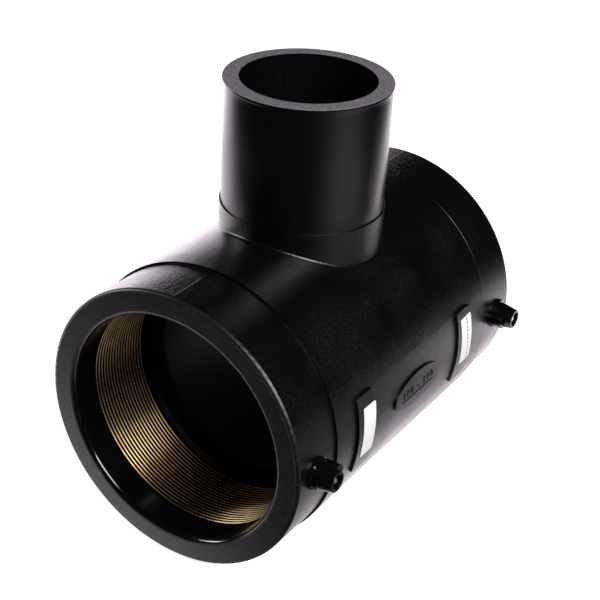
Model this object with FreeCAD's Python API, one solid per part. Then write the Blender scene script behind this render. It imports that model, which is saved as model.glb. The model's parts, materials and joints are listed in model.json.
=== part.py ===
# Electrofusion reducing tee for polyethylene pipe, in millimetres.
#
# A straight run for 160 mm pipe has a socket at each end, and a plain 110 mm
# spigot branch stands on its middle. A resistance wire wound in the bore of
# each socket melts the joint when a current is passed between the two
# terminals on the flank.
#
# Frame: the run lies along X, the branch rises along +Z, and the terminals,
# stickers and raised oval face -Y. The origin is where the two axes cross.
# The near end is the one at -X. Each far-end piece is the near-end piece
# turned half a turn about Y.

import FreeCAD, Part
import math
import os

Vector = FreeCAD.Vector
ORIGIN = Vector(0, 0, 0)
X_AXIS = Vector(1, 0, 0)
Y_AXIS = Vector(0, 1, 0)
Z_AXIS = Vector(0, 0, 1)

# Run: pipe that is welded in, sockets and the thicker middle
pipe_diameter = 160.0
pipe_clearance = 0.7
socket_outer_diameter = 197.0
overall_length = 288.0
middle_length = 203.8
middle_rise = 1.5
socket_depth = 86.0
stop_height = 8.2
end_edge_round = 2.5
mouth_round = 3.6
stop_edge_round = 1.5

# Branch: short neck, then a spigot with the size and wall of a 110 mm pipe,
# near the top of its tolerance so that it can be scraped before welding
branch_diameter = 110.6
branch_wall = 10.3
neck_rise = 11.0
neck_step = 0.9
spigot_length = 86.0
flare_step = 0.2
flare_length = 5.0
saddle_round = 2.0
branch_edge_break = 0.3

# Heating wire, wound in a shallow recess of the socket bore
wire_diameter = 1.3
wire_pitch = 2.89
wire_turns = 17
wire_proud = 0.1
wire_seat_clearance = 0.05
chords_per_turn = 32
winding_to_end = 21.7
recess_margin = 2.2
lead_in_turn = 0.125
lead_in_shift = 1.45

# Terminals, one near each end
terminal_to_end = 19.7
pin_diameter = 4.0
pin_shank_diameter = 3.5
pin_below_rim = 1.5
pin_head_diameter = 7.0
pin_tip_chamfer = 0.5
moulded_clearance = 0.03
shroud_seat_depth = 1.2
shroud_seat_clearance = 0.1
collar_diameter = 22.0
collar_height = 2.5
collar_edge_round = 0.5
tube_base_diameter = 18.0
tube_mouth_diameter = 14.4
tube_straight = 3.0
tube_height = 13.3
tube_bore_diameter = 10.0
tube_floor = 1.5
tube_rim_chamfer = 0.6
root_diameter = 12.0

# Fusion indicator, in a side tube of the shroud towards the middle of the tee
indicator_offset = 8.8
indicator_tube_diameter = 10.4
indicator_tube_height = 8.5
indicator_diameter = 3.6
indicator_clearance = 0.15
indicator_below_rim = 2.0

# Raised pads on the flank, with their stickers
pad_centre = 68.0
pad_width = 21.0
pad_height = 58.2
pad_rise = 1.7
pad_corner_round = 3.0
pad_edge_round = 0.4
sticker_width = 14.6
sticker_height = 37.4
sticker_thickness = 0.2
sticker_glue = 0.02
sticker_corner_round = 1.2

# Each sticker sits a little off its pad's middle, and turned, in degrees
sticker_near_shift = 2.5
sticker_near_lift = 0.7
sticker_near_tilt = 1.5
sticker_far_shift = 1.9
sticker_far_lift = 4.2
sticker_far_tilt = -3.0

# Raised oval at mid-flank, with a fine rib under its row of plain numbers
oval_length = 61.4
oval_height = 25.6
oval_rise = 1.5
oval_edge_round = 0.4
oval_rib_length = 41.0
oval_rib_width = 0.7
oval_rib_rise = 0.3
oval_rib_drop = 3.6

# What is set in the socket's wall, as shares of the thickness behind the coil
root_share = 0.3
pin_head_share = 0.55
pin_head_height_share = 0.18
indicator_share = 0.55
link_share = 0.16

# Sizes that follow from the ones above
bore_radius = pipe_diameter / 2 + pipe_clearance
socket_radius = socket_outer_diameter / 2
middle_radius = socket_radius + middle_rise
stop_radius = bore_radius - stop_height
half_length = overall_length / 2
stop_x = half_length - socket_depth
branch_radius = branch_diameter / 2
branch_bore_radius = branch_radius - branch_wall
neck_radius = branch_radius + neck_step
neck_top = middle_radius + neck_rise
branch_top = neck_top + spigot_length

wire_radius = wire_diameter / 2
winding_radius = bore_radius - wire_proud + wire_radius
chord_vertex_radius = winding_radius * (1 + 1 / math.cos(math.pi / chords_per_turn)) / 2
recess_radius = chord_vertex_radius + wire_radius + wire_seat_clearance
winding_start = -half_length + winding_to_end
winding_length = wire_pitch * wire_turns
recess_start = winding_start - recess_margin
recess_end = winding_start + winding_length + recess_margin
socket_wall = socket_radius - recess_radius

terminal_x = -half_length + terminal_to_end
indicator_x = terminal_x + indicator_offset
seat_y = -(socket_radius - shroud_seat_depth)
root_y = seat_y + root_share * socket_wall
indicator_root_y = seat_y + indicator_share * socket_wall
collar_top_y = -(socket_radius + collar_height)
rim_y = collar_top_y - tube_height
tube_floor_y = collar_top_y - tube_floor
indicator_rim_y = collar_top_y - indicator_tube_height
pin_tip_y = rim_y + pin_below_rim
pin_shoulder_y = tube_floor_y - moulded_clearance
pin_root_y = -(recess_radius + moulded_clearance)
pin_head_top_y = -(socket_radius - pin_head_share * socket_wall)
pin_head_root_y = pin_head_top_y + pin_head_height_share * socket_wall
link_x = winding_start + winding_length
link_radius = recess_radius + link_share * socket_wall
pad_radius = middle_radius + pad_rise
oval_radius = middle_radius + oval_rise


def run_cylinder(radius, x_from, x_to):
    """A solid cylinder on the run's axis between two X positions."""
    return Part.makeCylinder(radius, x_to - x_from, Vector(x_from, 0, 0), X_AXIS)


def flank_cylinder(radius, x, y_inner, y_outer):
    """A solid cylinder that points out of the flank, along -Y."""
    return Part.makeCylinder(radius, y_inner - y_outer, Vector(x, y_inner, 0), -Y_AXIS)


def turned_profile(corners, axis_point, axis):
    """A solid of revolution from the corners of its half section."""
    outline = Part.makePolygon(corners + corners[:1])
    return Part.Face(outline).revolve(axis_point, axis, 360)


def fuse_all(shapes):
    """One clean solid from shapes that overlap."""
    return shapes[0].fuse(shapes[1:]).removeSplitter()


def edges_where(shape, test):
    """The edges of a shape that pass a test, for a fillet or chamfer."""
    return [edge for edge in shape.Edges if test(edge)]


def half_turn(shape):
    """The same piece for the far end, turned half a turn about Y."""
    return shape.rotated(ORIGIN, Y_AXIS, 180)


def is_circle_at(edge, x, radius):
    """True for a full circle about the run's axis at one place."""
    curve = edge.Curve
    if not isinstance(curve, Part.Circle) or not edge.isClosed():
        return False
    at_x = abs(curve.Center.x - x) < 1e-4 and abs(curve.Axis.x) > 0.99
    return at_x and abs(curve.Radius - radius) < 1e-4


def make_run():
    """The run as a closed round bar, with its steps and rounded end edges."""
    sockets = run_cylinder(socket_radius, -half_length, half_length)
    middle = run_cylinder(middle_radius, -middle_length / 2, middle_length / 2)
    bar = fuse_all([sockets, middle])
    ends = edges_where(bar, lambda edge: any(
        is_circle_at(edge, side * half_length, socket_radius) for side in (-1, 1)))
    return bar.makeFillet(end_edge_round, ends)


def make_branch_outside(run):
    """The run joined to the neck with a small round in the corner, then the spigot."""
    neck = Part.makeCylinder(neck_radius, neck_top, ORIGIN, Z_AXIS)
    joined = fuse_all([run, neck])
    corner = edges_where(joined, lambda edge: (
        edge.BoundBox.ZMin > middle_radius * 0.5
        and edge.BoundBox.ZMax < middle_radius + 0.01
        and abs(edge.BoundBox.XMax) < neck_radius + 0.01
        and edge.BoundBox.YLength > neck_radius * 0.5
        and not is_flat_ring(edge)))
    joined = joined.makeFillet(saddle_round, corner)
    flare_start = branch_top - flare_length
    spigot = turned_profile([
        Vector(0, 0, 0),
        Vector(branch_radius, 0, 0),
        Vector(branch_radius, 0, flare_start),
        Vector(branch_radius + flare_step, 0, branch_top - branch_edge_break),
        Vector(branch_radius + flare_step - branch_edge_break, 0, branch_top),
        Vector(0, 0, branch_top),
    ], ORIGIN, Z_AXIS)
    return fuse_all([joined, spigot])


def is_flat_ring(edge):
    """True for an edge that lies in one plane across the branch's axis."""
    return edge.BoundBox.ZLength < 1e-3


def make_pad(centre_x):
    """A raised rectangular pad that follows the curve of the flank."""
    half_angle = math.degrees(math.asin(pad_height / 2 / pad_radius))
    root_radius = middle_radius - pad_rise
    section = Part.makePolygon([
        Vector(centre_x - pad_width / 2, -root_radius, 0),
        Vector(centre_x - pad_width / 2, -pad_radius, 0),
        Vector(centre_x + pad_width / 2, -pad_radius, 0),
        Vector(centre_x + pad_width / 2, -root_radius, 0),
        Vector(centre_x - pad_width / 2, -root_radius, 0),
    ])
    start = Part.Face(section).rotated(ORIGIN, X_AXIS, -half_angle)
    pad = start.revolve(ORIGIN, X_AXIS, 2 * half_angle)
    corners = edges_where(pad, lambda edge: (
        isinstance(edge.Curve, Part.Line)
        and edge.BoundBox.XLength < 1e-4))
    pad = pad.makeFillet(pad_corner_round, corners)
    crown = edges_where(pad, lambda edge: edge_is_at_radius(edge, pad_radius))
    return pad.makeFillet(pad_edge_round, crown)


def edge_is_at_radius(edge, radius):
    """True when both ends and the middle of an edge lie at one radius of the run."""
    first, last = edge.ParameterRange
    points = [edge.valueAt(first), edge.valueAt((first + last) / 2), edge.valueAt(last)]
    return all(abs(math.hypot(point.y, point.z) - radius) < 1e-3 for point in points)


def flank_prism(face, inner_radius, outer_radius):
    """A flat face at y = 0, pushed out along -Y and trimmed to a curved layer."""
    block = face.extrude(-Y_AXIS * outer_radius * 1.2)
    outside = run_cylinder(outer_radius, -half_length, half_length)
    inside = run_cylinder(inner_radius, -half_length, half_length)
    return block.common(outside).cut(inside)


def make_oval():
    """The raised oval with its rib, sunk a little into the flank to join it."""
    ellipse = Part.Ellipse(ORIGIN, oval_length / 2, oval_height / 2).toShape()
    ellipse = ellipse.rotated(ORIGIN, X_AXIS, 90)
    sink = middle_radius - oval_rise
    oval = flank_prism(Part.Face(Part.Wire(ellipse)), sink, oval_radius)
    crown = edges_where(oval, lambda edge: edge_is_at_radius(edge, oval_radius))
    oval = oval.makeFillet(oval_edge_round, crown)
    rib_outline = rounded_rectangle(oval_rib_length, oval_rib_width, oval_rib_width * 0.4)
    rib_outline.translate(Vector(0, 0, -oval_rib_drop))
    rib = flank_prism(Part.Face(rib_outline), sink, oval_radius + oval_rib_rise)
    return fuse_all([oval, rib])


def rounded_rectangle(width, height, radius):
    """A rounded rectangle in the XZ plane, centred on the origin."""
    x = width / 2
    z = height / 2
    bow = radius * (1 - math.sqrt(0.5))
    pieces = []
    for sx, sz in ((1, 1), (-1, 1), (-1, -1), (1, -1)):
        along_x = Vector(sx * (x - radius), 0, sz * z)
        along_z = Vector(sx * x, 0, sz * (z - radius))
        middle = Vector(sx * (x - bow), 0, sz * (z - bow))
        pieces.append(Part.Arc(along_x, middle, along_z).toShape())
    pieces.append(Part.makeLine(Vector(-x + radius, 0, z), Vector(x - radius, 0, z)))
    pieces.append(Part.makeLine(Vector(-x + radius, 0, -z), Vector(x - radius, 0, -z)))
    pieces.append(Part.makeLine(Vector(x, 0, -z + radius), Vector(x, 0, z - radius)))
    pieces.append(Part.makeLine(Vector(-x, 0, -z + radius), Vector(-x, 0, z - radius)))
    return Part.Wire(Part.__sortEdges__(pieces))


def socket_bore():
    """The near half of the hollow run: bore, coil recess, stop and passage."""
    section = [
        Vector(-half_length - 1, 0, 0),
        Vector(-half_length - 1, 0, bore_radius),
        Vector(recess_start, 0, bore_radius),
        Vector(recess_start, 0, recess_radius),
        Vector(recess_end, 0, recess_radius),
        Vector(recess_end, 0, bore_radius),
        Vector(-stop_x, 0, bore_radius),
        Vector(-stop_x, 0, stop_radius + stop_edge_round),
        Vector(-stop_x + stop_edge_round, 0, stop_radius),
        Vector(0.01, 0, stop_radius),
        Vector(0.01, 0, 0),
    ]
    return turned_profile(section, ORIGIN, X_AXIS)


def terminal_pocket():
    """What is hollow in the flank at the near end: seat, root hole, pin and indicator."""
    outer = -(socket_radius + 1)
    inside = -(bore_radius - 1)
    gap = shroud_seat_clearance
    seat = flank_cylinder(collar_diameter / 2 + gap, terminal_x, seat_y, outer)
    side_seat = flank_cylinder(indicator_tube_diameter / 2 + gap, indicator_x, seat_y, outer)
    root = flank_cylinder(root_diameter / 2 + gap, terminal_x, root_y + gap, outer)
    pin = flank_cylinder(pin_shank_diameter / 2 + moulded_clearance, terminal_x, inside, outer)
    head = flank_cylinder(
        pin_head_diameter / 2 + moulded_clearance, terminal_x,
        pin_head_root_y + moulded_clearance, pin_head_top_y - moulded_clearance)
    indicator = flank_cylinder(
        indicator_diameter / 2 + indicator_clearance, indicator_x,
        indicator_root_y + indicator_clearance, outer)
    return [seat, side_seat, root, pin, head, indicator]


def make_tee_body():
    """The single moulding that everything else is set in."""
    body = make_branch_outside(make_run())
    body = fuse_all([body, make_pad(-pad_centre), make_pad(pad_centre), make_oval()])
    near_bore = socket_bore()
    branch_bore = Part.makeCylinder(branch_bore_radius, branch_top + 1, ORIGIN, Z_AXIS)
    body = body.cut([near_bore, half_turn(near_bore), branch_bore])
    mouths = edges_where(body, lambda edge: any(
        is_circle_at(edge, side * half_length, bore_radius) for side in (-1, 1)))
    body = body.makeFillet(mouth_round, mouths)
    pockets = terminal_pocket()
    hollows = [staple(wire_radius + moulded_clearance, bore_radius)] + pockets
    hollows += [half_turn(pocket) for pocket in pockets]
    return body.cut(hollows)


def winding_point(turn):
    """A point on the wire's path; turn 0 lies under the near terminal pin."""
    angle = 2 * math.pi * turn
    x = winding_start + wire_pitch * turn
    if turn < lead_in_turn:
        x -= lead_in_shift * (1 - turn / lead_in_turn)
    y = -chord_vertex_radius * math.cos(angle)
    z = chord_vertex_radius * math.sin(angle)
    return Vector(x, y, z)


def make_heating_coil():
    """The near coil: a wire wound as a helix, each turn laid in short chords."""
    steps = wire_turns * chords_per_turn
    path = [winding_point(step / chords_per_turn) for step in range(steps + 1)]
    heading = (path[1] - path[0]).normalize()
    outward = Vector(0, path[0].y, path[0].z).normalize()
    side = heading.cross(outward).normalize()
    outward = side.cross(heading).normalize()
    corners = [outward, side, -outward, -side, outward]
    section = Part.makePolygon([path[0] + corner * wire_radius for corner in corners])
    sweep = Part.BRepOffsetAPI.MakePipeShell(Part.makePolygon(path))
    sweep.setTransitionMode(1)
    sweep.setFrenetMode(False)
    sweep.add(section)
    sweep.build()
    sweep.makeSolid()
    return sweep.shape()


def staple(radius, leg_end_radius):
    """A round bar along the wall with a leg inwards at each end, over the coils' ends."""
    bar = Part.makeCylinder(radius, -2 * link_x, Vector(link_x, -link_radius, 0), X_AXIS)
    pieces = [bar]
    for x in (link_x, -link_x):
        pieces.append(Part.makeSphere(radius, Vector(x, -link_radius, 0)))
        pieces.append(flank_cylinder(radius, x, -leg_end_radius, -link_radius))
    return fuse_all(pieces)


def make_link_wire():
    """The wire in the wall that joins the inner ends of the two coils."""
    return staple(wire_radius, recess_radius + moulded_clearance)


def make_terminal_pin():
    """A brass contact pin on a thinner shank, with a retaining head moulded into the wall."""
    pin = flank_cylinder(pin_diameter / 2, terminal_x, pin_shoulder_y, pin_tip_y)
    tip = edges_where(pin, lambda edge: (
        edge.isClosed() and abs(edge.BoundBox.YMin - pin_tip_y) < 1e-4 and edge.BoundBox.YLength < 1e-4))
    pin = pin.makeChamfer(pin_tip_chamfer, tip)
    shank = flank_cylinder(pin_shank_diameter / 2, terminal_x, pin_root_y, pin_shoulder_y)
    head = flank_cylinder(pin_head_diameter / 2, terminal_x, pin_head_root_y, pin_head_top_y)
    return fuse_all([pin, shank, head])


def make_terminal_shroud():
    """A collared, tapered tube around the pin, with the indicator's side tube."""
    axis_point = Vector(terminal_x, 0, 0)
    straight_end = collar_top_y - tube_straight
    mouth = tube_mouth_diameter / 2
    tube = turned_profile([
        Vector(terminal_x, root_y, 0),
        Vector(terminal_x + root_diameter / 2, root_y, 0),
        Vector(terminal_x + root_diameter / 2, seat_y, 0),
        Vector(terminal_x + collar_diameter / 2, seat_y, 0),
        Vector(terminal_x + collar_diameter / 2, collar_top_y + collar_edge_round, 0),
        Vector(terminal_x + collar_diameter / 2 - collar_edge_round, collar_top_y, 0),
        Vector(terminal_x + tube_base_diameter / 2, collar_top_y, 0),
        Vector(terminal_x + tube_base_diameter / 2, straight_end, 0),
        Vector(terminal_x + mouth, rim_y + tube_rim_chamfer / 2, 0),
        Vector(terminal_x + mouth - tube_rim_chamfer / 2, rim_y, 0),
        Vector(terminal_x, rim_y, 0),
    ], axis_point, Y_AXIS)
    side_tube = flank_cylinder(indicator_tube_diameter / 2, indicator_x, seat_y, indicator_rim_y)
    outside = fuse_all([tube, side_tube])
    bore = turned_profile([
        Vector(terminal_x, tube_floor_y, 0),
        Vector(terminal_x + tube_bore_diameter / 2, tube_floor_y, 0),
        Vector(terminal_x + tube_bore_diameter / 2, rim_y + tube_rim_chamfer, 0),
        Vector(terminal_x + tube_bore_diameter / 2 + 2 * tube_rim_chamfer, rim_y - tube_rim_chamfer, 0),
        Vector(terminal_x, rim_y - tube_rim_chamfer, 0),
    ], axis_point, Y_AXIS)
    pin_hole = flank_cylinder(
        pin_shank_diameter / 2 + moulded_clearance, terminal_x, root_y + 1, rim_y)
    indicator_hole = flank_cylinder(
        indicator_diameter / 2 + indicator_clearance, indicator_x, seat_y + 1, indicator_rim_y - 1)
    return outside.cut([bore, pin_hole, indicator_hole])


def make_fusion_indicator():
    """A plastic pip with a domed end that waits below the rim of its side tube."""
    radius = indicator_diameter / 2
    tip_y = indicator_rim_y + indicator_below_rim
    pip = flank_cylinder(radius, indicator_x, indicator_root_y, tip_y + radius)
    dome = Part.makeSphere(radius, Vector(indicator_x, tip_y + radius, 0))
    return fuse_all([pip, dome])


def make_sticker(centre_x, lift, tilt):
    """A thin paper sticker wrapped on a pad, raised by lift and turned by tilt degrees."""
    outline = rounded_rectangle(sticker_width, sticker_height, sticker_corner_round)
    outline = outline.rotated(ORIGIN, Y_AXIS, tilt)
    outline.translate(Vector(centre_x, 0, lift))
    inner = pad_radius + sticker_glue
    return flank_prism(Part.Face(outline), inner, inner + sticker_thickness)


def build():
    """All pieces by name."""
    coil = make_heating_coil()
    pin = make_terminal_pin()
    shroud = make_terminal_shroud()
    indicator = make_fusion_indicator()
    near_sticker_x = -pad_centre + sticker_near_shift
    far_sticker_x = pad_centre + sticker_far_shift
    return {
        "tee_body": make_tee_body(),
        "heating_coil_near": coil,
        "heating_coil_far": half_turn(coil),
        "link_wire": make_link_wire(),
        "terminal_pin_near": pin,
        "terminal_pin_far": half_turn(pin),
        "terminal_shroud_near": shroud,
        "terminal_shroud_far": half_turn(shroud),
        "fusion_indicator_near": indicator,
        "fusion_indicator_far": half_turn(indicator),
        "sticker_near": make_sticker(near_sticker_x, sticker_near_lift, sticker_near_tilt),
        "sticker_far": make_sticker(far_sticker_x, sticker_far_lift, sticker_far_tilt),
    }


os.makedirs("parts", exist_ok=True)
for name, shape in build().items():
    shape.exportStep("parts/" + name + ".step")
    print(name, round(shape.Volume, 1), "valid" if shape.isValid() else "not valid")
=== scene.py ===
"""Looks of an electrofusion reducing tee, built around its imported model.

The run of the tee lies along X and its branch rises along +Z. All lengths are in metres.
"""

import json
import logging
import math
from dataclasses import dataclass
from enum import Enum
from typing import Callable

import bpy
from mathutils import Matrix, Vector

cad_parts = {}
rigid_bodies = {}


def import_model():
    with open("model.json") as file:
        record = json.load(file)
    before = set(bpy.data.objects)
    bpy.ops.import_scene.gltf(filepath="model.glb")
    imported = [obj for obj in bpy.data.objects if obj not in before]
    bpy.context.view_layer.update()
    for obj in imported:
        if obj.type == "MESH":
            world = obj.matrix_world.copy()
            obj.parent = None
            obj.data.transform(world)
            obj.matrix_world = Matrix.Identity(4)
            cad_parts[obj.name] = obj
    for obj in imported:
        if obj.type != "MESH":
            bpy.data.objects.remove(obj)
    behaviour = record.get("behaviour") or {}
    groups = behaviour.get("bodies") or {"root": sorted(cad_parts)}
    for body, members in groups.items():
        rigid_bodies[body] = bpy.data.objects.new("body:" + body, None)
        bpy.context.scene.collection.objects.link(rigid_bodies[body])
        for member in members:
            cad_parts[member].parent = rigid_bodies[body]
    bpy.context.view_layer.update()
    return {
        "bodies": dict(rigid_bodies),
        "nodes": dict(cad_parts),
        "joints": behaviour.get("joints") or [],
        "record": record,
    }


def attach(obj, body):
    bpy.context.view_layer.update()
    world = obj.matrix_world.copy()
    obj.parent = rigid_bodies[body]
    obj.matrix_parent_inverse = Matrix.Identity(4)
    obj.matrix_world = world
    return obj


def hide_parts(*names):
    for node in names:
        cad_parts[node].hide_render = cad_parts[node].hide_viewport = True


MM = 0.001
FULL_TURN = 2 * math.pi
HALF_TURN = math.pi
QUARTER_TURN = math.pi / 2
SMOOTH_ANGLE = math.radians(40)
MERGE_DISTANCE = 1e-6
IMAGE_PIXELS = 600
WHITE = (1.0, 1.0, 1.0, 1.0)

LOG = logging.getLogger("tee")

Node = bpy.types.Node
Socket = bpy.types.NodeSocket


class Slot(Enum):
    """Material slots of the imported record."""

    BODY = "tee_body"
    WIRE = "heating_wire"
    PIN = "terminal_pin"
    SHROUD = "terminal_shroud"
    INDICATOR = "fusion_indicator"
    STICKER = "sticker"


class End(Enum):
    """The two ends of the run, by the sign of X."""

    NEAR = -1
    FAR = 1

    @property
    def word(self) -> str:
        """The end's name as node names spell it."""
        return self.name.lower()


# Node graph helpers


@dataclass(frozen=True)
class Band:
    """A noise, with the stretch of its values that shows.

    Attributes:
        scale: Cells per metre.
        detail: Octaves.
        roughness: Weight of the fine octaves.
        low: Noise value up to which nothing shows.
        high: Noise value from which it shows fully.
    """

    scale: float
    detail: float
    roughness: float
    low: float
    high: float


class Graph:
    """A short way to add and link nodes in one node tree."""

    def __init__(self, tree: bpy.types.NodeTree) -> None:
        """Keeps the material's or group's node tree that nodes are added to."""
        self.tree = tree

    def feed(self, socket: Socket, value: object) -> None:
        """Links an output to a socket, or writes a constant on it.

        Args:
            socket: The input socket.
            value: An output socket, a number or a tuple.
        """
        if isinstance(value, Socket):
            self.tree.links.new(value, socket)
        else:
            socket.default_value = value

    def add(self, kind: str, inputs: dict | None = None, **settings: object) -> Node:
        """Adds a node.

        Args:
            kind: The node's type name.
            inputs: Socket name or index to value or output.
            **settings: The node's own properties.

        Returns:
            The new node.
        """
        node = self.tree.nodes.new(kind)
        for name, value in settings.items():
            setattr(node, name, value)
        for key, value in (inputs or {}).items():
            self.feed(node.inputs[key], value)
        return node

    def math(self, operation: str, *values: object) -> Socket:
        """Adds a Math node.

        Args:
            operation: The Math node's operation.
            *values: One to three numbers or outputs.

        Returns:
            The node's result.
        """
        node = self.add("ShaderNodeMath", operation=operation)
        for socket, value in zip(node.inputs, values):
            self.feed(socket, value)
        return node.outputs[0]

    def times(self, *values: object) -> Socket:
        """Multiplies numbers or outputs together.

        Args:
            *values: Two or more of them.

        Returns:
            Their product.
        """
        product = values[0]
        for value in values[1:]:
            product = self.math("MULTIPLY", product, value)
        return product

    def split(self, vector: Socket) -> tuple:
        """Parts a vector into its X, Y and Z outputs."""
        return tuple(self.add("ShaderNodeSeparateXYZ", {0: vector}).outputs)

    def radius(self, first: Socket, second: Socket) -> Socket:
        """Distance from an axis.

        Args:
            first: One coordinate across the axis.
            second: The other one.

        Returns:
            The distance.
        """
        squares = self.math("ADD", self.math("POWER", first, 2.0), self.math("POWER", second, 2.0))
        return self.math("SQRT", squares)

    def ramp(self, value: object, low: float, high: float, to_low: float = 0.0,
             to_high: float = 1.0) -> Socket:
        """Maps a value smoothly from one range to another, clamped.

        Args:
            value: The value to map.
            low: Start of the input range.
            high: End of the input range.
            to_low: Result at the start.
            to_high: Result at the end.

        Returns:
            The mapped value.
        """
        node = self.add("ShaderNodeMapRange", interpolation_type="SMOOTHSTEP")
        for socket, item in zip(node.inputs, (value, low, high, to_low, to_high)):
            self.feed(socket, item)
        return node.outputs[0]

    def line(self, value: Socket, middle: float, core: float, edge: float) -> Socket:
        """A soft line where a coordinate has one value.

        Args:
            value: The coordinate.
            middle: Its value on the line.
            core: Half the width that is full.
            edge: Distance from the middle at which the line has gone.

        Returns:
            1 on the line, falling to 0 beside it.
        """
        away = self.math("ABSOLUTE", self.math("SUBTRACT", value, middle))
        return self.ramp(away, core, edge, 1.0, 0.0)

    def noise(self, vector: object, scale: object, detail: float, roughness: float) -> Socket:
        """Adds a noise texture.

        Args:
            vector: Coordinates.
            scale: Cells per metre.
            detail: Octaves.
            roughness: Weight of the fine octaves.

        Returns:
            The noise value.
        """
        inputs = {"Vector": vector, "Scale": scale, "Detail": detail, "Roughness": roughness}
        return self.add("ShaderNodeTexNoise", inputs).outputs[0]

    def band(self, vector: object, band: Band) -> Socket:
        """Adds a noise and shows one stretch of its values.

        Args:
            vector: Coordinates.
            band: The noise and its stretch.

        Returns:
            A mask from 0 to 1.
        """
        noise = self.noise(vector, band.scale, band.detail, band.roughness)
        return self.ramp(noise, band.low, band.high)

    def mix(self, kind: str, factor: object, first: object, second: object) -> Socket:
        """Adds a Mix node.

        Args:
            kind: Its data type.
            factor: 0 gives the first, 1 the second.
            first: A colour or a number.
            second: Another one.

        Returns:
            The mixed colour or number.
        """
        node = self.add("ShaderNodeMix", data_type=kind)
        self.feed(node.inputs["Factor"], factor)
        self.feed(node.inputs["A"], first)
        self.feed(node.inputs["B"], second)
        return node.outputs["Result"]

    def blend(self, factor: object, first: object, second: object) -> Socket:
        """Mixes two colours, as mix does."""
        return self.mix("RGBA", factor, first, second)

    def lerp(self, factor: object, first: object, second: object) -> Socket:
        """Mixes two numbers, as mix does."""
        return self.mix("FLOAT", factor, first, second)


# Shared effects


class SharedEffect:
    """A shader node group that several finishes use, built once."""

    name: str
    inputs: dict[str, float]
    outputs: tuple[str, ...]

    def group(self) -> bpy.types.NodeTree:
        """Makes the group, or finds it.

        Returns:
            The group's node tree, whose first input is a Vector.
        """
        known = bpy.data.node_groups.get(self.name)
        if known:
            return known
        tree = bpy.data.node_groups.new(self.name, "ShaderNodeTree")
        tree.interface.new_socket("Vector", in_out="INPUT", socket_type="NodeSocketVector")
        for key, default in self.inputs.items():
            socket = tree.interface.new_socket(key, in_out="INPUT", socket_type="NodeSocketFloat")
            socket.default_value = default
        for key in self.outputs:
            tree.interface.new_socket(key, in_out="OUTPUT", socket_type="NodeSocketFloat")
        graph = Graph(tree)
        self.fill(graph, graph.add("NodeGroupInput"), graph.add("NodeGroupOutput"))
        return tree

    def fill(self, graph: Graph, entry: Node, leave: Node) -> None:
        """Adds the nodes between the group's input and output nodes.

        Args:
            graph: The group's graph.
            entry: Its input node.
            leave: Its output node.
        """
        raise NotImplementedError


@dataclass(frozen=True)
class MouldedGrain(SharedEffect):
    """Fine orange peel over slow waves of shrinkage, with patches, haze and speckle."""

    name = "moulded grain"
    inputs = {"Grain per metre": 1500.0, "Grain height": 1.0, "Wave height": 1.0}
    outputs = ("Height", "Patches", "Haze", "Speckle")
    fine_detail: float = 4.0
    fine_roughness: float = 0.78
    waves_per_metre: float = 38.0
    wave_detail: float = 2.0
    wave_roughness: float = 0.5
    patches: Band = Band(scale=21.0, detail=4.0, roughness=0.6, low=0.38, high=0.66)
    cloud: Band = Band(scale=24.0, detail=5.0, roughness=0.62, low=0.34, high=0.74)
    speckle: Band = Band(scale=850.0, detail=1.0, roughness=0.5, low=0.42, high=0.64)

    def fill(self, graph: Graph, entry: Node, leave: Node) -> None:
        """Adds the grain's nodes.

        Args:
            graph: The group's graph.
            entry: Its input node.
            leave: Its output node.
        """
        vector = entry.outputs["Vector"]
        fine = graph.noise(vector, entry.outputs["Grain per metre"], self.fine_detail,
                           self.fine_roughness)
        slow = graph.noise(vector, self.waves_per_metre, self.wave_detail, self.wave_roughness)
        grain = graph.times(fine, entry.outputs["Grain height"])
        wave = graph.times(slow, entry.outputs["Wave height"])
        speckle = graph.band(vector, self.speckle)
        graph.feed(leave.inputs["Height"], graph.math("ADD", grain, wave))
        graph.feed(leave.inputs["Patches"], graph.band(vector, self.patches))
        graph.feed(leave.inputs["Haze"], graph.times(graph.band(vector, self.cloud), speckle))
        graph.feed(leave.inputs["Speckle"], speckle)


@dataclass(frozen=True)
class HandlingMarks(SharedEffect):
    """Hair scratches one way and another, and specks of dust."""

    name = "handling marks"
    inputs = {"Amount": 1.0}
    outputs = ("Scratches", "Specks")
    scratch: Band = Band(scale=6.0, detail=3.0, roughness=0.55, low=0.70, high=0.76)
    scratch_ways: tuple = (((0.5, 0.3, 0.5), (9.0, 300.0, 260.0)),
                           ((2.2, 0.3, 2.2), (300.0, 12.0, 240.0)))
    specks_per_metre: float = 420.0
    speck_core: float = 0.05
    speck_edge: float = 0.13
    dusty: Band = Band(scale=60.0, detail=3.0, roughness=0.5, low=0.56, high=0.64)

    def fill(self, graph: Graph, entry: Node, leave: Node) -> None:
        """Adds the nodes of the scratches and the specks.

        Args:
            graph: The group's graph.
            entry: Its input node.
            leave: Its output node.
        """
        vector = entry.outputs["Vector"]
        amount = entry.outputs["Amount"]
        scratches = 0.0
        for turn, stretch in self.scratch_ways:
            inputs = {"Vector": vector, "Rotation": turn, "Scale": stretch}
            placed = graph.add("ShaderNodeMapping", inputs).outputs[0]
            scratches = graph.math("MAXIMUM", scratches, graph.band(placed, self.scratch))
        graph.feed(leave.inputs["Scratches"], graph.times(scratches, amount))
        inputs = {"Vector": vector, "Scale": self.specks_per_metre, "Randomness": 1.0}
        distance = graph.add("ShaderNodeTexVoronoi", inputs).outputs["Distance"]
        specks = graph.ramp(distance, self.speck_core, self.speck_edge, 1.0, 0.0)
        specks = graph.times(specks, graph.band(vector, self.dusty), amount)
        graph.feed(leave.inputs["Specks"], specks)


# Finishes


@dataclass(frozen=True)
class Grain:
    """One finish's own values for the shared grain."""

    per_metre: float
    height: float
    wave: float


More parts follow.
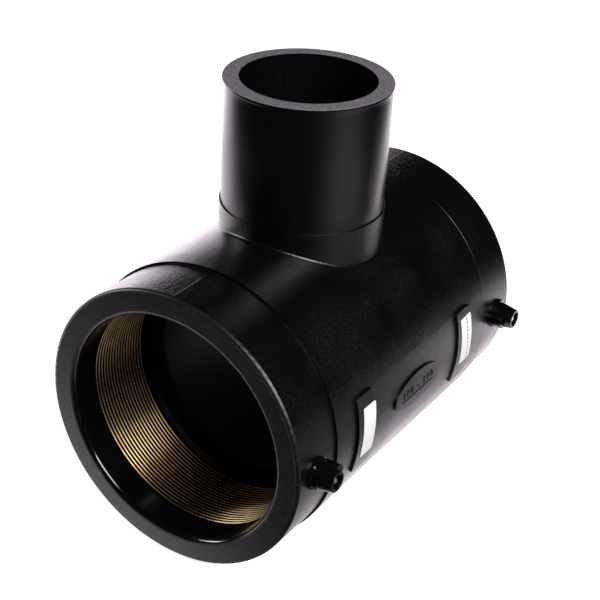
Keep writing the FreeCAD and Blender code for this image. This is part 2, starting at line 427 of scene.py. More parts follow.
class Finish:
    """What every finish shares: a Principled shader read in the piece's own coordinates."""

    slot: Slot
    grain: Grain
    name: str = ""
    marks: float = 0.0

    def material(self) -> bpy.types.Material:
        """Makes the finish's material once, or finds it.

        Returns:
            The material.
        """
        name = (self.name or self.slot.value) + "_finish"
        known = bpy.data.materials.get(name)
        if known:
            return known
        made = bpy.data.materials.new(name)
        made.use_nodes = True
        graph = Graph(made.node_tree)
        shader = made.node_tree.nodes["Principled BSDF"]
        place = graph.add("ShaderNodeTexCoord").outputs["Object"]
        self.paint(graph, shader, place)
        return made

    def paint(self, graph: Graph, shader: Node, place: Socket) -> None:
        """Adds the finish's own nodes.

        Args:
            graph: The material's graph.
            shader: Its Principled shader.
            place: Object coordinates, in metres.
        """
        raise NotImplementedError

    def grained(self, graph: Graph, place: Socket) -> Node:
        """Adds the shared grain with this finish's values.

        Args:
            graph: The material's graph.
            place: Object coordinates.

        Returns:
            The group's node.
        """
        inputs = {"Vector": place, "Grain per metre": self.grain.per_metre,
                  "Grain height": self.grain.height, "Wave height": self.grain.wave}
        return self.grouped(graph, MouldedGrain(), inputs)

    def marked(self, graph: Graph, place: Socket) -> Node:
        """Adds the shared handling marks with this finish's amount.

        Args:
            graph: The material's graph.
            place: Object coordinates.

        Returns:
            The group's node.
        """
        return self.grouped(graph, HandlingMarks(), {"Vector": place, "Amount": self.marks})

    def grouped(self, graph: Graph, effect: SharedEffect, inputs: dict) -> Node:
        """Places a shared effect in the material.

        Args:
            graph: The material's graph.
            effect: The shared effect.
            inputs: Input name to value or output.

        Returns:
            The group's node.
        """
        node = graph.add("ShaderNodeGroup", node_tree=effect.group())
        for key, value in inputs.items():
            graph.feed(node.inputs[key], value)
        return node

    def relief(self, graph: Graph, shader: Node, height: object, depth: float) -> None:
        """Turns a height into the shader's normal.

        Args:
            graph: The material's graph.
            shader: Its Principled shader.
            height: Height, where 1 stands for the depth.
            depth: Depth of the relief, in metres.
        """
        bump = graph.add("ShaderNodeBump", {"Height": height, "Distance": depth, "Strength": 1.0})
        graph.feed(shader.inputs["Normal"], bump.outputs[0])


@dataclass(frozen=True)
class Zones:
    """Masks over the moulding, each 1 where it holds, and one distance.

    Attributes:
        bore: Inside the run and the branch.
        deep: The middle of the run's bore.
        rim: The outer edge of each socket's mouth.
        flank: The front of the run, where hands hold it.
        branch: The branch above its foot.
        branch_side: The branch's side towards +X, where hands hold it.
        cut: The cut ends of the run and the branch.
        ring: The cut end of the branch.
        around: Distance from the axis that tool marks run around.
    """

    bore: Socket
    deep: Socket
    rim: Socket
    flank: Socket
    branch: Socket
    branch_side: Socket
    cut: Socket
    ring: Socket
    around: Socket


@dataclass(frozen=True)
class BlackPolyethylene(Finish):
    """Moulded black polyethylene, cut matte at its open ends and smooth in its bores."""

    slot: Slot = Slot.BODY
    grain: Grain = Grain(per_metre=450.0, height=0.9, wave=0.5)
    marks: float = 0.6
    ior: float = 1.50
    # Colours
    colour: tuple = (0.0018, 0.0016, 0.0021, 1.0)
    face_colour: tuple = (0.0014, 0.0012, 0.0017, 1.0)
    face_speckle: tuple = (0.0130, 0.0114, 0.0142, 1.0)
    # The branch's sawn end: partly the dull grey of the saw cut, mostly a painted sheen of the light
    # from above; the run's sawn ends, of the same cut, stay dark.
    ring_colour: tuple = (0.100, 0.090, 0.103, 1.0)
    ring_speckle: tuple = (0.190, 0.173, 0.193, 1.0)
    haze_colour: tuple = (0.080, 0.074, 0.084, 1.0)
    dust_colour: tuple = (0.30, 0.29, 0.28, 1.0)
    haze: float = 0.10
    branch_haze: float = 0.30
    speck_dust: float = 0.20
    scratch_dust: float = 0.035
    # Roughness
    moulded_roughness: float = 0.18
    face_roughness: float = 0.29
    ring_roughness: float = 0.58
    bore_roughness: float = 0.09
    deep_roughness: float = 0.50
    rim_roughness: float = 0.40
    patch_roughness: float = 0.07
    scratch_roughness: float = 0.16
    # Where the zones lie
    bore_radius: float = 82.3 * MM
    branch_bore_radius: float = 45.3 * MM
    deep_reach: float = 66 * MM
    rim_start: float = 141.6 * MM
    rim_radius: float = 96.05 * MM
    run_end: float = 143.7 * MM
    branch_end: float = 196.7 * MM
    branch_foot: float = 112 * MM
    branch_start: float = 128 * MM
    flank_front: tuple = (-45 * MM, -75 * MM)
    flank_radius: tuple = (90 * MM, 94 * MM)
    branch_held: tuple = (-5 * MM, 30 * MM)
    # Relief
    relief_depth: float = 0.28 * MM
    branch_relief: float = 0.45
    calm_relief: float = 0.05
    tool_mark_pitch: float = 0.9 * MM
    tool_mark_height: float = 0.04
    shoulder_x: float = 101.55 * MM
    shoulder_core: float = 0.10 * MM
    shoulder_edge: float = 0.90 * MM
    shoulder_height: float = 1.2
    parting_core: float = 0.10 * MM
    parting_edge: float = 0.45 * MM
    parting_height: float = -0.5
    socket_top: float = 98.3 * MM
    socket_top_reach: float = 0.9 * MM

    def paint(self, graph: Graph, shader: Node, place: Socket) -> None:
        """Adds the moulding's nodes.

        Args:
            graph: The material's graph.
            shader: Its Principled shader.
            place: Object coordinates, in metres.
        """
        zones = self.zones(graph, place)
        grain = self.grained(graph, place)
        marks = self.marked(graph, place)
        graph.feed(shader.inputs["Roughness"], self.roughness(graph, zones, grain, marks))
        graph.feed(shader.inputs["Base Color"], self.tint(graph, zones, grain, marks))
        shader.inputs["IOR"].default_value = self.ior
        self.relief(graph, shader, self.height(graph, place, zones, grain), self.relief_depth)

    def roughness(self, graph: Graph, zones: Zones, grain: Node, marks: Node) -> Socket:
        """Roughness of each zone, with patches and scratches.

        Args:
            graph: The material's graph.
            zones: Its masks.
            grain: The shared grain's node.
            marks: The shared marks' node.

        Returns:
            The roughness.
        """
        smooth = graph.lerp(zones.bore, self.moulded_roughness, self.bore_roughness)
        smooth = graph.lerp(zones.deep, smooth, self.deep_roughness)
        sawn = graph.lerp(zones.ring, self.face_roughness, self.ring_roughness)
        rough = graph.lerp(zones.cut, smooth, sawn)
        rough = graph.lerp(zones.rim, rough, self.rim_roughness)
        rough = graph.math("MULTIPLY_ADD", grain.outputs["Patches"], self.patch_roughness, rough)
        return graph.math("MULTIPLY_ADD", marks.outputs["Scratches"], self.scratch_roughness, rough)

    def tint(self, graph: Graph, zones: Zones, grain: Node, marks: Node) -> Socket:
        """Colour of each zone, with speckle, the haze of handling, dust, and the painted sheen of the
        branch's sawn end.

        Args:
            graph: The material's graph.
            zones: Its masks.
            grain: The shared grain's node.
            marks: The shared marks' node.

        Returns:
            The colour.
        """
        speckle = grain.outputs["Speckle"]
        face = graph.blend(speckle, self.face_colour, self.face_speckle)
        # Painted sheen: the branch's sawn end is coloured far lighter than the run's.
        ring = graph.blend(speckle, self.ring_colour, self.ring_speckle)
        colour = graph.blend(zones.cut, self.colour, graph.blend(zones.ring, face, ring))
        hazed = graph.times(grain.outputs["Haze"], zones.flank)
        dulled = graph.times(speckle, zones.branch_side)
        hazed = graph.math("MULTIPLY_ADD", dulled, self.branch_haze, hazed)
        colour = graph.blend(graph.times(hazed, self.haze), colour, self.haze_colour)
        dust = graph.times(marks.outputs["Specks"], self.speck_dust)
        dust = graph.math("MULTIPLY_ADD", marks.outputs["Scratches"], self.scratch_dust, dust)
        return graph.blend(dust, colour, self.dust_colour)

    def height(self, graph: Graph, place: Socket, zones: Zones, grain: Node) -> Socket:
        """Relief: grain, tool marks, and the lines that the mould left.

        Args:
            graph: The material's graph.
            place: Object coordinates.
            zones: Its masks.
            grain: The shared grain's node.

        Returns:
            The height.
        """
        x, y, z = graph.split(place)
        tool = graph.math("SINE", graph.times(zones.around, FULL_TURN / self.tool_mark_pitch))
        tool = graph.times(tool, zones.cut, self.tool_mark_height)
        height = graph.math("ADD", grain.outputs["Height"], tool)
        parting = graph.line(y, 0.0, self.parting_core, self.parting_edge)
        away = graph.math("SUBTRACT", graph.math("ABSOLUTE", z), self.socket_top)
        on_socket = graph.math("LESS_THAN", graph.math("ABSOLUTE", away), self.socket_top_reach)
        parting = graph.times(parting, on_socket)
        height = graph.math("MULTIPLY_ADD", parting, self.parting_height, height)
        shoulder = graph.line(x, self.shoulder_x, self.shoulder_core, self.shoulder_edge)
        height = graph.math("MULTIPLY_ADD", shoulder, self.shoulder_height, height)
        calm = graph.lerp(graph.math("MAXIMUM", zones.bore, zones.rim), 1.0, self.calm_relief)
        calm = graph.times(calm, graph.lerp(zones.branch, 1.0, self.branch_relief))
        return graph.times(height, calm)

    def zones(self, graph: Graph, place: Socket) -> Zones:
        """Parts the surface into its zones.

        Args:
            graph: The material's graph.
            place: Object coordinates.

        Returns:
            The masks.
        """
        x, y, z = graph.split(place)
        along = graph.math("ABSOLUTE", x)
        run_radius = graph.radius(y, z)
        branch_radius = graph.radius(x, y)
        in_run = graph.math("LESS_THAN", run_radius, self.bore_radius)
        in_branch = graph.math("LESS_THAN", branch_radius, self.branch_bore_radius)
        bore = graph.math("MAXIMUM", in_run, in_branch)
        run_cut = graph.math("GREATER_THAN", along, self.run_end)
        branch_cut = graph.math("GREATER_THAN", z, self.branch_end)
        cut = graph.math("MAXIMUM", run_cut, branch_cut)
        branch = graph.ramp(z, self.branch_foot, self.branch_start)
        return Zones(
            bore=bore,
            deep=graph.times(in_run, graph.math("LESS_THAN", along, self.deep_reach)),
            rim=graph.times(graph.math("GREATER_THAN", along, self.rim_start),
                            graph.math("GREATER_THAN", run_radius, self.rim_radius)),
            flank=graph.times(graph.ramp(y, *self.flank_front),
                              graph.ramp(run_radius, *self.flank_radius)),
            branch=branch,
            branch_side=graph.times(branch, graph.ramp(x, *self.branch_held)),
            cut=graph.times(cut, graph.math("SUBTRACT", 1.0, bore)),
            ring=branch_cut,
            around=graph.lerp(branch_cut, run_radius, branch_radius))


@dataclass(frozen=True)
class WeldSkin(Finish):
    """Dull black skin of the bore, where the wire is laid in."""

    slot: Slot = Slot.BODY
    name: str = "weld_skin"
    grain: Grain = Grain(per_metre=2200.0, height=0.7, wave=0.3)
    ior: float = 1.08
    colour: tuple = (0.0018, 0.0016, 0.0018, 1.0)
    roughness: tuple = (0.55, 0.65)
    relief_depth: float = 0.02 * MM

    def paint(self, graph: Graph, shader: Node, place: Socket) -> None:
        """Adds the skin's nodes.

        Args:
            graph: The material's graph.
            shader: Its Principled shader.
            place: Object coordinates, in metres.
        """
        grain = self.grained(graph, place)
        shader.inputs["Base Color"].default_value = self.colour
        shader.inputs["IOR"].default_value = self.ior
        graph.feed(shader.inputs["Roughness"], graph.lerp(grain.outputs["Patches"], *self.roughness))
        self.relief(graph, shader, grain.outputs["Height"], self.relief_depth)


@dataclass(frozen=True)
class ResistanceWire(Finish):
    """Drawn copper-nickel wire, dulled by the mould's heat."""

    slot: Slot = Slot.WIRE
    grain: Grain = Grain(per_metre=1500.0, height=0.1, wave=0.2)
    colour: tuple = (0.82, 0.60, 0.36, 1.0)
    tarnish_colour: tuple = (0.58, 0.35, 0.17, 1.0)
    tarnish: Band = Band(scale=90.0, detail=4.0, roughness=0.6, low=0.42, high=0.68)
    roughness: tuple = (0.31, 0.36)
    relief_depth: float = 0.002 * MM

    def paint(self, graph: Graph, shader: Node, place: Socket) -> None:
        """Adds the wire's nodes.

        Args:
            graph: The material's graph.
            shader: Its Principled shader.
            place: Object coordinates, in metres.
        """
        grain = self.grained(graph, place)
        dull = graph.band(place, self.tarnish)
        graph.feed(shader.inputs["Base Color"], graph.blend(dull, self.colour, self.tarnish_colour))
        graph.feed(shader.inputs["Roughness"], graph.lerp(dull, *self.roughness))
        shader.inputs["Metallic"].default_value = 1.0
        self.relief(graph, shader, grain.outputs["Height"], self.relief_depth)


@dataclass(frozen=True)
class TurnedBrass(Finish):
    """Bright turned brass with fine rings along its length."""

    slot: Slot = Slot.PIN
    colour: tuple = (0.86, 0.62, 0.28, 1.0)
    tarnish_colour: tuple = (0.52, 0.33, 0.13, 1.0)
    tarnish: Band = Band(scale=400.0, detail=4.0, roughness=0.6, low=0.40, high=0.70)
    roughness: tuple = (0.20, 0.38)
    ring_pitch: float = 0.25 * MM
    relief_depth: float = 0.03 * MM

    def paint(self, graph: Graph, shader: Node, place: Socket) -> None:
        """Adds the brass's nodes.

        Args:
            graph: The material's graph.
            shader: Its Principled shader.
            place: Object coordinates, in metres.
        """
        along = graph.split(place)[1]
        rings = graph.math("SINE", graph.times(along, FULL_TURN / self.ring_pitch))
        rings = graph.math("MULTIPLY_ADD", rings, 0.5, 0.5)
        dull = graph.band(place, self.tarnish)
        graph.feed(shader.inputs["Base Color"], graph.blend(dull, self.colour, self.tarnish_colour))
        graph.feed(shader.inputs["Roughness"], graph.lerp(dull, *self.roughness))
        shader.inputs["Metallic"].default_value = 1.0
        self.relief(graph, shader, rings, self.relief_depth)


@dataclass(frozen=True)
class GlossyShroud(Finish):
    """Glossy black moulding of the terminal shrouds."""

    slot: Slot = Slot.SHROUD
    grain: Grain = Grain(per_metre=900.0, height=0.4, wave=0.6)
    marks: float = 0.8
    colour: tuple = (0.0020, 0.0018, 0.0022, 1.0)
    dust_colour: tuple = (0.30, 0.29, 0.28, 1.0)
    speck_dust: float = 0.12
    roughness: float = 0.09
    patch_roughness: float = 0.05
    scratch_roughness: float = 0.2
    relief_depth: float = 0.02 * MM

    def paint(self, graph: Graph, shader: Node, place: Socket) -> None:
        """Adds the shroud's nodes.

        Args:
            graph: The material's graph.
            shader: Its Principled shader.
            place: Object coordinates, in metres.
        """
        grain = self.grained(graph, place)
        marks = self.marked(graph, place)
        rough = graph.math("MULTIPLY_ADD", marks.outputs["Scratches"], self.scratch_roughness,
                           self.roughness)
        rough = graph.math("MULTIPLY_ADD", grain.outputs["Patches"], self.patch_roughness, rough)
        graph.feed(shader.inputs["Roughness"], rough)
        dust = graph.times(marks.outputs["Specks"], self.speck_dust)
        graph.feed(shader.inputs["Base Color"], graph.blend(dust, self.colour, self.dust_colour))
        self.relief(graph, shader, grain.outputs["Height"], self.relief_depth)


@dataclass(frozen=True)
class IndicatorPlastic(Finish):
    """Satin black plastic of the fusion indicators."""

    slot: Slot = Slot.INDICATOR
    grain: Grain = Grain(per_metre=2500.0, height=0.8, wave=0.2)
    colour: tuple = (0.016, 0.016, 0.017, 1.0)
    patch_colour: tuple = (0.03, 0.03, 0.032, 1.0)
    roughness: tuple = (0.42, 0.55)
    relief_depth: float = 0.03 * MM

    def paint(self, graph: Graph, shader: Node, place: Socket) -> None:
        """Adds the indicator's nodes.

        Args:
            graph: The material's graph.
            shader: Its Principled shader.
            place: Object coordinates, in metres.
        """
        grain = self.grained(graph, place)
        patches = grain.outputs["Patches"]
        graph.feed(shader.inputs["Roughness"], graph.lerp(patches, *self.roughness))
        graph.feed(shader.inputs["Base Color"], graph.blend(patches, self.colour, self.patch_colour))
        self.relief(graph, shader, grain.outputs["Height"], self.relief_depth)


@dataclass(frozen=True)
class StickerPaper(Finish):
    """White coated paper with faint fibres, and a dashed line printed down the far one."""

    slot: Slot = Slot.STICKER
    grain: Grain = Grain(per_metre=4000.0, height=0.6, wave=0.4)
    colour: tuple = (0.96, 0.96, 0.96, 1.0)
    shade: tuple = (0.91, 0.91, 0.91, 1.0)
    ink: tuple = (0.04, 0.04, 0.05, 1.0)
    roughness: tuple = (0.42, 0.52)
    line_x: float = 72.3 * MM
    line_slope: float = 0.120
    line_width: float = 1.15 * MM
    dash_pitch: float = 3.3 * MM
    gap_level: float = -0.6
    relief_depth: float = 0.03 * MM

    def paint(self, graph: Graph, shader: Node, place: Socket) -> None:
        """Adds the paper's nodes.

        Args:
            graph: The material's graph.
            shader: Its Principled shader.
            place: Object coordinates, in metres.
        """
        grain = self.grained(graph, place)
        patches = grain.outputs["Patches"]
        paper = graph.blend(patches, self.colour, self.shade)
        graph.feed(shader.inputs["Base Color"], graph.blend(self.printed(graph, place), paper, self.ink))
        graph.feed(shader.inputs["Roughness"], graph.lerp(patches, *self.roughness))
        self.relief(graph, shader, grain.outputs["Height"], self.relief_depth)

    def printed(self, graph: Graph, place: Socket) -> Socket:
        """Where the dashed line is printed.

        Args:
            graph: The material's graph.
            place: Object coordinates.

        Returns:
            1 on the dashes, 0 off them.
        """
        x, _, z = graph.split(place)
        middle = graph.math("MULTIPLY_ADD", z, -self.line_slope, self.line_x)
        away = graph.math("ABSOLUTE", graph.math("SUBTRACT", x, middle))
        on_line = graph.math("LESS_THAN", away, self.line_width / 2)
        beat = graph.math("SINE", graph.times(z, FULL_TURN / self.dash_pitch))
        return graph.times(on_line, graph.math("GREATER_THAN", beat, self.gap_level))


# Modelling helpers


def deselect_all() -> None:
    """Leaves no object selected."""
    bpy.ops.object.select_all(action="DESELECT")


def make_active(piece: bpy.types.Object) -> None:
    """Selects one object alone and makes it active.

    Args:
        piece: The object.
    """
    deselect_all()
    piece.select_set(True)
    bpy.context.view_layer.objects.active = piece


def settle(piece: bpy.types.Object) -> None:
    """Moves an object's place, turn and size into its mesh."""
    make_active(piece)
    bpy.ops.object.transform_apply(location=True, rotation=True, scale=True)


def new_primitive(name: str, add: Callable[..., object], **settings: object) -> bpy.types.Object:
    """Adds a primitive alone and settles it.

    Args:
        name: The new object's name.
        add: The operator that adds it.
        **settings: The operator's own settings.

    Returns:
        The new object.
    """
    deselect_all()
    add(**settings)
    piece = bpy.context.object
    piece.name = name
    settle(piece)
    return piece


def apply_modifier(piece: bpy.types.Object, kind: str, **settings: object) -> None:
    """Adds a modifier and applies it.

    Args:
        piece: The object.
        kind: The modifier's type.
        **settings: The modifier's own properties.
    """
    make_active(piece)
    bpy.ops.object.modifier_add(type=kind)
    modifier = piece.modifiers[-1]
    for name, value in settings.items():
        setattr(modifier, name, value)
    bpy.ops.object.modifier_apply(modifier=modifier.name)


def face_outwards(piece: bpy.types.Object, close_ends: bool = False) -> None:
    """Merges doubles and points every face outwards.

    Args:
        piece: The object.
        close_ends: Whether open ends are first closed by a face.
    """
    make_active(piece)
    bpy.ops.object.mode_set(mode="EDIT")
    bpy.ops.mesh.select_all(action="SELECT")
    bpy.ops.mesh.remove_doubles(threshold=MERGE_DISTANCE)
    if close_ends:
        bpy.ops.mesh.select_all(action="DESELECT")
        bpy.ops.mesh.select_non_manifold()
        bpy.ops.mesh.edge_face_add()
        bpy.ops.mesh.select_all(action="SELECT")
    bpy.ops.mesh.normals_make_consistent(inside=False)
    bpy.ops.object.mode_set(mode="OBJECT")


def shade_smooth(piece: bpy.types.Object) -> None:
    """Shades a piece smooth, apart from its sharp edges."""
    make_active(piece)
    bpy.ops.object.shade_smooth_by_angle(angle=SMOOTH_ANGLE)


def half_turn_copy(piece: bpy.types.Object, name: str) -> bpy.types.Object:
    """A copy with its own mesh, turned half a turn about Y for the far end.

    Args:
        piece: The near end's object.
        name: The copy's name.

    Returns:
        The copy.
    """
    copy = piece.copy()
    copy.data = piece.data.copy()
    copy.name = name
    bpy.context.scene.collection.objects.link(copy)
    copy.rotation_euler = (0, HALF_TURN, 0)
    settle(copy)
    return copy


def dress(piece: bpy.types.Object, finish: Finish, replaced: str | None = None) -> None:
    """Gives a new piece its finish and its place in the frame.

    Args:
        piece: The object.
        finish: Its finish.
        replaced: The node that it stands for, if any.
    """
    piece.data.materials.clear()
    piece.data.materials.append(finish.material())
    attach(piece, "root")
    if replaced:
        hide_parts(replaced)
    LOG.info("%s: %d faces", piece.name, len(piece.data.polygons))


# Sub-assemblies


@dataclass
class Moulding:
    """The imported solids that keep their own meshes, dressed by material slot."""

    frame: dict

    def build(self) -> None:
        """Puts each finish on the nodes of its slot."""
        finishes = {finish.slot.value: finish for finish in (
            BlackPolyethylene(), ResistanceWire(), TurnedBrass(), GlossyShroud(),
            IndicatorPlastic(), StickerPaper())}
        for entry in self.frame["record"]["subparts"]:
            node = self.frame["nodes"][entry["node"]]
            node.data.materials.clear()
            node.data.materials.append(finishes[entry["material_slot"]].material())
            LOG.info("%s: packed node", entry["node"])


@dataclass
class HeatingWinding:
    """The wire wound in one socket, and the skin of plastic that it is half sunk in."""

    run_half_length: float = 144 * MM
    bore_radius: float = 80.7 * MM
    wire_radius: float = 0.65 * MM
    wire_proud: float = 0.1 * MM
    pitch: float = 2.89 * MM
    turns: int = 17
    winding_to_end: float = 21.7 * MM
    steps_per_turn: int = 96
    section_corners: int = 10
    recess_radius: float = 82.15 * MM
    recess_margin: float = 2.2 * MM
    skin_thickness: float = 1.26 * MM
    skin_clearance: float = 0.05 * MM
    skin_sides: int = 160

    @property
    def first_x(self) -> float:
        """Where the near winding starts."""
        return self.winding_to_end - self.run_half_length

    @property
    def ring_radius(self) -> float:
        """Radius of the winding, at the middle of its wire."""
        return self.bore_radius - self.wire_proud + self.wire_radius

    def build(self) -> None:
        """Makes both windings and their skins."""
        wire = self.wire()
        skin = self.skin()
        for end in End:
            coil = wire if end is End.NEAR else half_turn_copy(wire, "winding_far")
            dress(coil, ResistanceWire(), f"heating_coil_{end.word}")
            lining = skin if end is End.NEAR else half_turn_copy(skin, "bore_skin_far")
            dress(lining, WeldSkin())

    def wire(self) -> bpy.types.Object:
        """The near wire: a small circle screwed along the run's axis.

        Returns:
            The wire's object.
        """
        piece = new_primitive(
            "winding_near", bpy.ops.mesh.primitive_circle_add, vertices=self.section_corners,
            radius=self.wire_radius, location=(self.first_x, -self.ring_radius, 0))
        apply_modifier(piece, "SCREW", axis="X", angle=-FULL_TURN, screw_offset=self.pitch,
                       iterations=self.turns, steps=self.steps_per_turn,
                       render_steps=self.steps_per_turn, use_smooth_shade=True)
        face_outwards(piece, close_ends=True)
        return piece

    def skin(self) -> bpy.types.Object:
        """The near ring of plastic between the turns.

        Returns:
            The ring's object.
        """
        start = self.first_x - self.recess_margin
        end = self.first_x + self.pitch * self.turns + self.recess_margin
        piece = new_primitive(
            "bore_skin_near", bpy.ops.mesh.primitive_cylinder_add, vertices=self.skin_sides,
            radius=self.recess_radius - self.skin_clearance, depth=end - start - 2 * self.skin_clearance,
            end_fill_type="NOTHING", location=((start + end) / 2, 0, 0), rotation=(0, QUARTER_TURN, 0))
        apply_modifier(piece, "SOLIDIFY", thickness=self.skin_thickness, offset=-1.0)
        face_outwards(piece)
        shade_smooth(piece)
        return piece


@dataclass
class BranchLip:
    """The narrow burred lip that the saw left round the branch's open end."""

    branch_radius: float = 55.3 * MM
    branch_top: float = 197 * MM
    overhang: float = 0.65 * MM
    below_top: float = 0.02 * MM
    wall: float = 0.85 * MM
    height: float = 2.4 * MM
    edge_round: float = 0.35 * MM
    edge_steps: int = 3
    sides: int = 192

    def build(self) -> None:
        """Makes the lip, sunk in the branch's wall."""
        middle = self.branch_top - self.below_top - self.height / 2
        piece = new_primitive(
            "branch_lip", bpy.ops.mesh.primitive_cylinder_add, vertices=self.sides,
            radius=self.branch_radius + self.overhang, depth=self.height,
            end_fill_type="NOTHING", location=(0, 0, middle))
        apply_modifier(piece, "SOLIDIFY", thickness=self.wall, offset=-1.0)
        apply_modifier(piece, "BEVEL", width=self.edge_round, segments=self.edge_steps,
                       limit_method="ANGLE", angle_limit=SMOOTH_ANGLE)
        face_outwards(piece)
        shade_smooth(piece)
        dress(piece, BlackPolyethylene())


@dataclass
class OvalNumbers:
    """The row of raised plain numbers on the oval at mid-flank."""

    words: str = "160 - 110"
    height: float = 7.6 * MM
    relief: float = 0.45 * MM
    edge_round: float = 0.06 * MM
    oval_radius: float = 101.5 * MM
    row_z: float = 1.2 * MM
    spread: float = 1.40
    sunk: float = 0.15 * MM

    def build(self) -> None:
        """Makes the numbers, standing out of the flank along -Y."""
        deselect_all()
        bpy.ops.object.text_add(location=(0, 0, 0), rotation=(0, 0, 0))
        piece = bpy.context.object
        piece.name = "oval_numbers"
        piece.data.body = self.words
        piece.data.size = self.height
        piece.data.align_x = "CENTER"
        piece.data.align_y = "CENTER"
        piece.data.space_character = self.spread
        piece.data.extrude = self.relief
        piece.data.bevel_depth = self.edge_round
        bpy.ops.object.convert(target="MESH")
        piece = bpy.context.object
        piece.rotation_euler = (QUARTER_TURN, 0, 0)
        flank = math.sqrt(self.oval_radius ** 2 - self.row_z ** 2)
        piece.location = (0, -flank + self.sunk, self.row_z)
        settle(piece)
        face_outwards(piece)
        dress(piece, BlackPolyethylene())


# Studio


@dataclass(frozen=True)
class Disc:
    """A soft disc centred on the floor: its level up to the inner radius, 0 from the outer one."""

    x: float
    y: float
    inner: float
    outer: float
    level: float


@dataclass(frozen=True)
class Lamp:
    """A square soft lamp, its side in metres and its power in watts."""

    name: str
    place: tuple
    side: float
    power: float


@dataclass(frozen=True)
class PalePaint:
    """A pale surface's name, its light for the camera and the painted light that reflections see on it.
    """

    name: str
    glow: float
    sheet_glow: float


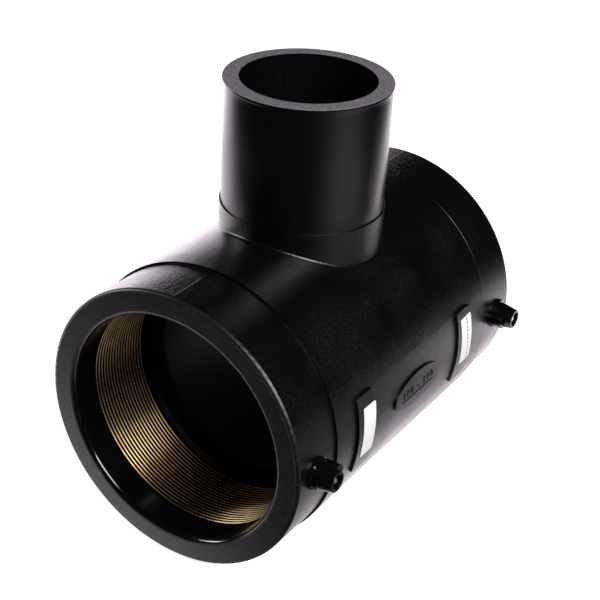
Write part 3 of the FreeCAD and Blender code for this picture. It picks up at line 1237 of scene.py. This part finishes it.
@dataclass
class Studio:
    """Pale floor, round white backdrop, soft lamps and the photograph's camera."""

    floor_z: float = -100.6 * MM
    floor_size: float = 12.0
    wall_radius: float = 4.2
    wall_height: float = 0.85
    wall_sides: int = 128
    camera_place: tuple = (-0.7150, -0.4453, 0.5110)
    camera_turn: tuple = (60.068, -2.893, -56.798)
    focal_pixels: float = 1377.0
    centre_pixel: tuple = (304.15, 306.70)
    sensor_mm: float = 36.0
    sky_colour: tuple = (0.9, 0.92, 1.0, 1.0)
    sky_strength: float = 0.015
    lamps: tuple = (Lamp("front_lamp", (-0.43, -1.07, 0.99), 0.8, 32.0),
                    Lamp("back_lamp", (-0.49, 1.34, 0.49), 0.4, 10.0))
    lamp_target: tuple = (0.0, 0.0, 0.03)
    floor_paint: PalePaint = PalePaint("floor_paint", glow=0.85, sheet_glow=1.45)
    backdrop_paint: PalePaint = PalePaint("backdrop_paint", glow=0.9, sheet_glow=1.0)
    pale_colour: tuple = (0.8, 0.8, 0.8, 1.0)
    pale_roughness: float = 0.9
    # Painted shade: off the painted light the floor is this dark for reflections and bounced light,
    # though the camera sees it white.
    table_colour: tuple = (0.03, 0.03, 0.03, 1.0)
    sheet_tint: tuple = (1.0, 0.90, 1.0, 1.0)
    # Pools of painted light: soft discs on the floor and up the backdrop that glow only in reflections
    # and are pale only for bounced light.
    sheets: tuple = (Disc(0.36, 0.31, inner=0.50, outer=0.69, level=1.0),
                     Disc(1.90, 2.10, inner=2.0, outer=2.5, level=2.0),
                     Disc(-0.02, -0.62, inner=0.12, outer=0.45, level=0.25))
    # Painted shadows cut out of the painted light: the tee's own shade on the floor in front of it, and
    # a darker patch behind its near end.
    shades: tuple = (Disc(0.12, -0.22, inner=0.06, outer=0.21, level=0.75),
                     Disc(-0.08, -0.22, inner=0.06, outer=0.20, level=0.65),
                     Disc(-0.46, 0.62, inner=0.12, outer=0.48, level=0.95))

    def build(self) -> None:
        """Sets everything that isn't part of the tee."""
        bpy.context.scene.view_settings.view_transform = "Standard"
        self.camera()
        self.world()
        self.floor()
        self.wall()
        for lamp in self.lamps:
            self.hang(lamp)

    def camera(self) -> None:
        """Places the camera of the photograph."""
        data = bpy.data.cameras.new("photo_camera")
        data.sensor_width = self.sensor_mm
        data.lens = self.sensor_mm * self.focal_pixels / IMAGE_PIXELS
        middle = IMAGE_PIXELS / 2
        data.shift_x = (middle - self.centre_pixel[0]) / IMAGE_PIXELS
        data.shift_y = (self.centre_pixel[1] - middle) / IMAGE_PIXELS
        camera = bpy.data.objects.new("photo_camera", data)
        camera.location = self.camera_place
        camera.rotation_euler = [math.radians(turn) for turn in self.camera_turn]
        bpy.context.scene.collection.objects.link(camera)
        bpy.context.scene.camera = camera

    def world(self) -> None:
        """A dim even sky."""
        world = bpy.data.worlds.new("studio")
        world.use_nodes = True
        background = world.node_tree.nodes["Background"]
        background.inputs["Color"].default_value = self.sky_colour
        background.inputs["Strength"].default_value = self.sky_strength
        bpy.context.scene.world = world

    def floor(self) -> None:
        """A pale floor under the tee."""
        floor = new_primitive("floor", bpy.ops.mesh.primitive_plane_add, size=self.floor_size,
                              location=(0, 0, self.floor_z))
        floor.data.materials.append(self.pale_material(self.floor_paint))

    def wall(self) -> None:
        """A low round backdrop."""
        wall = new_primitive(
            "backdrop", bpy.ops.mesh.primitive_cylinder_add, vertices=self.wall_sides,
            radius=self.wall_radius, depth=self.wall_height, end_fill_type="NOTHING",
            location=(0, 0, self.floor_z + self.wall_height / 2))
        wall.data.materials.append(self.pale_material(self.backdrop_paint))

    def pale_material(self, paint: PalePaint) -> bpy.types.Material:
        """A pale surface: white to the camera; for reflections and bounced light, dark with pools of
        painted light and painted shadows on it.

        Args:
            paint: Its name and its light.

        Returns:
            The material.
        """
        made = bpy.data.materials.new(paint.name)
        made.use_nodes = True
        graph = Graph(made.node_tree)
        shader = made.node_tree.nodes["Principled BSDF"]
        shader.inputs["Roughness"].default_value = self.pale_roughness
        shader.inputs["Specular IOR Level"].default_value = 0.0
        path = graph.add("ShaderNodeLightPath").outputs
        camera = path["Is Camera Ray"]
        mirrored = graph.math("MAXIMUM", path["Is Glossy Ray"], path["Is Transmission Ray"])
        pool_light = self.white_sheet(graph)
        pale = graph.math("MAXIMUM", camera, pool_light)
        # Painted light: the discs glow only for glossy and transmission rays.
        glow = graph.times(mirrored, pool_light, paint.sheet_glow)
        glow = graph.math("MULTIPLY_ADD", camera, paint.glow, glow)
        # Painted shade off the painted light: the dark colour serves every ray but the camera's.
        graph.feed(shader.inputs["Base Color"], graph.blend(pale, self.table_colour, self.pale_colour))
        graph.feed(shader.inputs["Emission Color"], graph.blend(camera, self.sheet_tint, WHITE))
        graph.feed(shader.inputs["Emission Strength"], glow)
        return made

    def white_sheet(self, graph: Graph) -> Socket:
        """How bright the painted light is under the tee, behind it and up the backdrop.

        Args:
            graph: The material's graph.

        Returns:
            The highest level of the painted light discs, falling softly to 0 off them and in the painted
            shadows.
        """
        place = graph.add("ShaderNodeNewGeometry").outputs["Position"]
        pooled_light = 0.0
        for disc in self.sheets:
            pooled_light = graph.math("MAXIMUM", pooled_light, self.disc_mask(graph, place, disc))
        # Painted shadows take the painted light away inside their discs.
        for disc in self.shades:
            left = graph.math("SUBTRACT", 1.0, self.disc_mask(graph, place, disc))
            pooled_light = graph.times(pooled_light, left)
        return pooled_light

    def disc_mask(self, graph: Graph, place: Socket, disc: Disc) -> Socket:
        """The mask of one soft disc.

        Args:
            graph: The material's graph.
            place: World position.
            disc: The disc.

        Returns:
            The disc's level on it, falling softly to 0 off it.
        """
        centre = (disc.x, disc.y, self.floor_z)
        away = graph.add("ShaderNodeVectorMath", {0: place, 1: centre}, operation="DISTANCE")
        return graph.ramp(away.outputs["Value"], disc.inner, disc.outer, disc.level, 0.0)

    def hang(self, lamp: Lamp) -> None:
        """Hangs a lamp, aimed at the tee.

        Args:
            lamp: The lamp.
        """
        data = bpy.data.lights.new(lamp.name, "AREA")
        data.shape = "SQUARE"
        data.size = lamp.side
        data.energy = lamp.power
        hung = bpy.data.objects.new(lamp.name, data)
        hung.location = lamp.place
        aim = Vector(self.lamp_target) - Vector(lamp.place)
        hung.rotation_euler = aim.to_track_quat("-Z", "Y").to_euler()
        bpy.context.scene.collection.objects.link(hung)


def main() -> None:
    """Loads the frame and builds the studio and every sub-assembly around it."""
    logging.basicConfig(level=logging.INFO, format="%(name)s %(message)s")
    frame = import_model()
    Studio().build()
    Moulding(frame).build()
    HeatingWinding().build()
    BranchLip().build()
    OvalNumbers().build()


if __name__ == "__main__":
    main()
